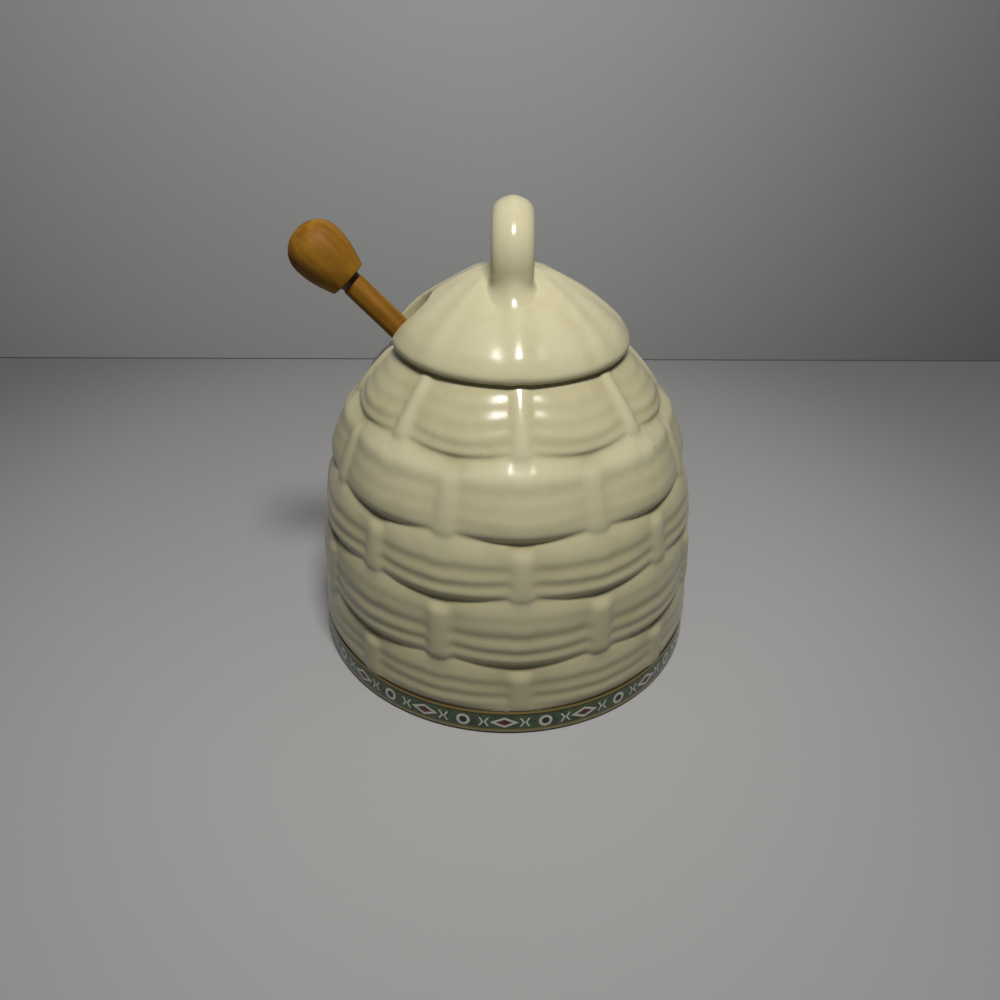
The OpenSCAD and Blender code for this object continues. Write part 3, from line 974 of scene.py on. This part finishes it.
def border_finish():
    s, c = sizes(), colours()
    f = Finish("printed_border")
    x, y, z = f.axes()
    round_way = x.math("ARCTAN2", y) * (1 / (2 * pi)) + 0.5
    tall = s.band_high - s.band_low
    up = (z - s.band_low) / tall
    repeats = BORDER_REPEATS
    along = (round_way * repeats + 0.25) % 1
    # Distances in mm from the middle of a motif
    arc = 2 * pi * s.foot_width / 2 / repeats / MM
    height = (up - BORDER_MIDDLE) * (tall / MM)
    wobble = (f.cloud(900, 1) - 0.5) * 0.35
    from_lozenge = abs(along - 0.25) * arc + wobble
    from_ring = abs(along - 0.75) * arc
    lozenge = from_lozenge * 0.55 + abs(height) * 1.2
    ring = (from_ring * from_ring + height * height) ** 0.5 + wobble * 0.6
    patches = f.cloud(420, 4, rough=0.7)
    tone = f.mix(patches.soft_step(0.42, 0.62), c.green, c.green_dark)
    white = (1 - lozenge.soft_step(2.1, 2.3)).most(1 - ring.soft_step(1.8, 1.95))
    short = 1 - abs(height).soft_step(1.4, 1.6)
    from_middle = abs(along - 0.5)
    for sideways in (from_middle, abs(from_middle - 0.5)):
        chevron = abs(sideways * arc - abs(height) * 0.6 - 0.3)
        white = white.most((1 - chevron.soft_step(0.2, 0.36)) * short)
    tone = f.mix(white, tone, c.white)
    tone = f.mix(1 - lozenge.soft_step(1.2, 1.35), tone, c.red)
    tone = f.mix(1 - ring.soft_step(1.0, 1.15), tone, c.black)

    def line(tone, low, high, hue):
        soft = 0.012
        inside = up.soft_step(low - soft, low + soft) * (1 - up.soft_step(high - soft, high + soft))
        return f.mix(inside, tone, hue)

    for low, high, hue in (
        (0.79, 0.86, c.brown), (0.86, 0.96, c.gold), (0.96, 1.2, c.brown),
        (0.07, 0.14, c.gold), (-0.2, 0.07, c.thick_glaze_and_shade),
    ):
        tone = line(tone, low, high, hue)
    f.surface(Base_Color=tone, Roughness=0.2 + patches * 0.1, IOR=1.5)
    return f.material


def wood_finish(name, grain_scale=1.0, bare=0.0):
    c = colours()
    f = Finish(name)
    local = f.node("ShaderNodeMapping", {"vector_type": "TEXTURE"}, {
        "Vector": f.place, "Location": STEM_MIDDLE, "Rotation": STEM_TURN})
    stretched = f.node("ShaderNodeMapping", None, {"Vector": local, "Scale": (1, 1, 0.06)})
    fibres = f.cloud(1500 * grain_scale, 3, stretched, 0.65)
    bands = f.cloud(330 * grain_scale, 2, stretched, 0.5)
    patch = f.cloud(110, 2, local)
    tone = f.mix(bands.soft_step(0.35, 0.68), c.wood, c.wood_dark)
    tone = f.mix((fibres - 0.5) * 1.4 + 0.25, tone, c.wood_dark)
    tone = f.mix((patch - 0.5) * 1.2 + bare, tone, c.wood)
    pores = f.node("ShaderNodeMapping", None, {"Vector": local, "Scale": (1, 1, 0.16)})
    cells = f.node("ShaderNodeTexVoronoi", None, {"Vector": pores, "Scale": 1100})
    tone = f.mix((1 - cells.soft_step(0.08, 0.22)) * 0.55, tone, c.wood_dark)
    f.surface(Base_Color=tone, Roughness=0.5 + fibres * 0.2, Specular_IOR_Level=0.22,
              Normal=f.bump(fibres - cells * 0.3, 0.25, 0.0002))
    return f.material


def glue_finish():
    c = colours()
    f = Finish("old_glue")
    lumps = f.cloud(900, 2)
    f.surface(Base_Color=f.mix(lumps, c.glue, c.wood_dark * 0.4), Roughness=0.3 + lumps * 0.2,
              Normal=f.bump(lumps, 0.4, 0.0003))
    return f.material


# Share of a board's colour that it throws back on the pot, whose sides are dark in the photograph
BOUNCE = 0.45


def board_finish(name, hue, middle, near, far, dim, seam_shade=0):
    """Board whose colour darkens away from a point, from near to far metres, as a painted pool of lamp light, with
    a painted shade line at its foot.
    """
    f = Finish(name)
    x, y, z = [axis - at for axis, at in zip(f.axes(), middle)]
    away = (x * x + y * y + z * z) ** 0.5
    # Painted pool of light: the colour darkens away from the middle
    tone = f.mix(away.soft_step(near, far), hue, [value * dim for value in hue])
    # Painted shade line where the board meets the table
    if seam_shade:
        tone = f.mix(1 - f.axes()[2].soft_step(0.4 * seam_shade, seam_shade), tone, [value * 0.3 for value in hue])
    tone = f.mix((f.cloud(300, 3) - 0.5) * 0.12, tone, (0.4, 0.4, 0.4))
    camera_ray = f.node("ShaderNodeLightPath", output="Is Camera Ray")
    seen = camera_ray + camera_ray.beside("Is Glossy Ray") + camera_ray.beside("Is Transmission Ray")
    f.surface(Base_Color=f.mix(seen, [value * BOUNCE for value in hue], tone), Roughness=0.75)
    return f.material


# Operators


class HONEYPOT_OT_pot(bpy.types.Operator):
    """Models the woven pot and glazes it"""
    bl_idname = "honeypot.pot"
    bl_label = "Woven pot"

    def execute(self, context):
        finish_piece(make_pot(), "pot", "stoneware", glaze_finish(), "pot_body")
        return {"FINISHED"}


class HONEYPOT_OT_border(bpy.types.Operator):
    """Makes the printed border round the foot"""
    bl_idname = "honeypot.border"
    bl_label = "Printed border"

    def execute(self, context):
        finish_piece(make_border(), "pot", "printed_border", border_finish(), "border_band")
        return {"FINISHED"}


class HONEYPOT_OT_lid(bpy.types.Operator):
    """Models the ribbed lid with its notch"""
    bl_idname = "honeypot.lid"
    bl_label = "Lid"

    def execute(self, context):
        finish_piece(make_lid(), "lid", "stoneware", glaze_finish(), "lid")
        return {"FINISHED"}


class HONEYPOT_OT_handle(bpy.types.Operator):
    """Models the loop handle with its spread feet"""
    bl_idname = "honeypot.handle"
    bl_label = "Loop handle"

    def execute(self, context):
        finish_piece(make_handle(), "lid", "stoneware", glaze_finish(), "lid_handle")
        return {"FINISHED"}


class HONEYPOT_OT_dipper(bpy.types.Operator):
    """Models the wooden dipper: dowel, glue, knob and grooved head"""
    bl_idname = "honeypot.dipper"
    bl_label = "Dipper"

    def execute(self, context):
        finish_piece(make_stem(), "dipper", "wood", wood_finish("dowel_wood"), "dipper_stem")
        finish_piece(make_glue_ring(), "dipper", "wood", glue_finish())
        turned_wood = wood_finish("turned_wood", 0.8, 0.25)
        finish_piece(make_knob(), "dipper", "wood", turned_wood, "dipper_knob")
        finish_piece(make_head(), "dipper", "wood", turned_wood, "dipper_head")
        return {"FINISHED"}


CAMERA_PLACE = Vector((-0.0021, -0.1986, 0.1658))
CAMERA_TILT = radians(57.27)
CAMERA_ROLL = 0.0159
CAMERA_LENS = 27.94
SENSOR = 36
# Where the board meets the table at the left and right sides of the photograph
SEAM_LEFT = (125, 358.5)
SEAM_RIGHT = (875, 361)
# The lamp: place, what it points at, width, height, watts and tint
LAMP_PLACE = Vector((0.030, -0.172, 0.48))
LAMP_TARGET = Vector((0, 0, 0.07))
LAMP_SIZE = (0.120, 0.083)
LAMP_POWER = 1.72
LAMP_TINT = (1, 0.975, 0.93)
ROOM_TINT = (0.9, 0.93, 1, 1)
ROOM_STRENGTH = 0.028


def table_point(u, v):
    """Point of the table seen at a place in the 1000 by 1000 picture."""
    view = camera_turn() @ Vector(((u - 500) / 1000 * SENSOR, (500 - v) / 1000 * SENSOR, -CAMERA_LENS))
    return CAMERA_PLACE - view * (CAMERA_PLACE.z / view.z)


def camera_turn():
    return Euler((CAMERA_TILT, 0, 0)).to_matrix() @ Euler((0, 0, CAMERA_ROLL)).to_matrix()


class HONEYPOT_OT_stage(bpy.types.Operator):
    """Sets up the table, the board behind it, the lamp and the camera"""
    bl_idname = "honeypot.stage"
    bl_label = "Stage"

    def execute(self, context):
        c = colours()
        bpy.ops.object.select_all(action="DESELECT")
        bpy.ops.mesh.primitive_plane_add(size=3)
        floor = named("table")
        # The table darkens away from a point near the pot: painted fall-off of the lamp's light
        floor.data.materials.append(board_finish(
            "table_top", c.floor, middle=(-0.03, 0.06, 0), near=0.12, far=0.26, dim=0.75))
        left, right = table_point(*SEAM_LEFT), table_point(*SEAM_RIGHT)
        bpy.ops.mesh.primitive_plane_add(size=3)
        board = named("backdrop")
        across = right - left
        board.rotation_euler = (pi / 2, 0, atan2(across.y, across.x))
        board.location = (left + right) / 2
        bpy.ops.object.transform_apply(location=True, rotation=True, scale=True)
        # The backdrop darkens away from a point, painted fall-off of the lamp's light, with a painted shade line at
        # its foot
        board.data.materials.append(board_finish(
            "backdrop_board", c.backdrop, middle=(-0.11, 0.2, 0.10), near=0.08, far=0.46, dim=0.50, seam_shade=0.9 * MM))

        bpy.ops.object.light_add(type="AREA", location=LAMP_PLACE)
        lamp = bpy.context.object
        lamp.name = "key"
        lamp.data.shape = "RECTANGLE"
        lamp.data.size, lamp.data.size_y = LAMP_SIZE
        lamp.data.energy = LAMP_POWER
        lamp.data.color = LAMP_TINT
        lamp.rotation_euler = (LAMP_TARGET - LAMP_PLACE).to_track_quat("-Z", "Y").to_euler()
        world = bpy.data.worlds.new("soft_room")
        context.scene.world = world
        world.use_nodes = True
        world.node_tree.nodes["Background"].inputs["Color"].default_value = ROOM_TINT
        world.node_tree.nodes["Background"].inputs["Strength"].default_value = ROOM_STRENGTH

        bpy.ops.object.camera_add(location=CAMERA_PLACE)
        camera = bpy.context.object
        camera.rotation_euler = camera_turn().to_euler()
        camera.data.sensor_width = SENSOR
        camera.data.lens = CAMERA_LENS
        context.scene.camera = camera
        context.scene.view_settings.view_transform = "Standard"
        return {"FINISHED"}


STEPS = (
    HONEYPOT_OT_pot, HONEYPOT_OT_border, HONEYPOT_OT_lid, HONEYPOT_OT_handle, HONEYPOT_OT_dipper, HONEYPOT_OT_stage,
)


class HONEYPOT_PT_panel(bpy.types.Panel):
    """Lists the pieces of the honey pot"""
    bl_label = "Honey Pot"
    bl_space_type = "VIEW_3D"
    bl_region_type = "UI"
    bl_category = "Honey Pot"

    def draw(self, context):
        for step in STEPS:
            self.layout.operator(step.bl_idname)


CLASSES = (HoneyPotSizes, HoneyPotColours) + STEPS + (HONEYPOT_PT_panel,)


def register():
    for cls in CLASSES:
        bpy.utils.register_class(cls)
    bpy.types.Scene.honey_pot_sizes = PointerProperty(type=HoneyPotSizes)
    bpy.types.Scene.honey_pot_colours = PointerProperty(type=HoneyPotColours)


def unregister():
    del bpy.types.Scene.honey_pot_sizes
    del bpy.types.Scene.honey_pot_colours
    for cls in reversed(CLASSES):
        bpy.utils.unregister_class(cls)


def main():
    register()
    bpy.ops.honeypot.pot()
    bpy.ops.honeypot.border()
    bpy.ops.honeypot.lid()
    bpy.ops.honeypot.handle()
    bpy.ops.honeypot.dipper()
    bpy.ops.honeypot.stage()


if __name__ == "__main__":
    main()
